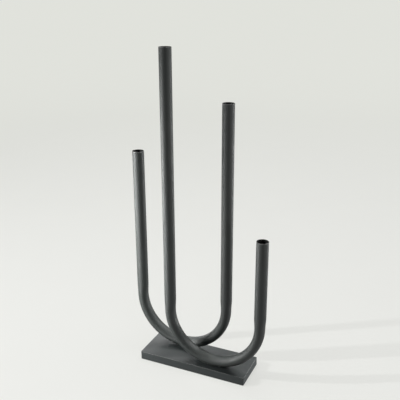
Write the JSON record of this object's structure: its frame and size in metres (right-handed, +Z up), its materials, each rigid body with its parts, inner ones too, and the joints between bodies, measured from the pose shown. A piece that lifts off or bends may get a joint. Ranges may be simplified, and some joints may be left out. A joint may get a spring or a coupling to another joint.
{
  "type": "tabletop candelabra",
  "caption": "Tabletop candelabra: two U-shaped metal tubes of differing arm heights stand upright on a flat rectangular plate, and each open arm end holds a taper candle.",
  "frame": {"origin": "the middle of the footprint, on the plane that the foot pads stand on", "axes": "+Z up along the arms; +X along the plate's length, towards the shortest arm; +Y towards the rear U"},
  "size_m": [0.3264, 0.087, 0.6976],
  "materials": {
    "tube_coat": "fine matte charcoal powder coat",
    "plate_coat": "fine matte charcoal powder coat",
    "stop_coat": "thin charcoal powder coat over pressed steel",
    "boss_steel": "turned bare steel",
    "zinc": "bright zinc plate",
    "pad_foam": "matte closed-cell foam rubber"
  },
  "bodies": {
    "root": {"base_plate": "plate_coat", "rear_tube": "tube_coat", "front_tube": "tube_coat", "fixing_screws": "zinc", "candle_stop_rear_left": "stop_coat", "candle_stop_rear_right": "stop_coat", "candle_stop_front_left": "stop_coat", "candle_stop_front_right": "stop_coat", "boss_rear_left": "boss_steel", "boss_rear_right": "boss_steel", "boss_front_left": "boss_steel", "boss_front_right": "boss_steel", "foot_pad_rear_left": "pad_foam", "foot_pad_rear_right": "pad_foam", "foot_pad_front_left": "pad_foam", "foot_pad_front_right": "pad_foam"}
  },
  "joints": []
}
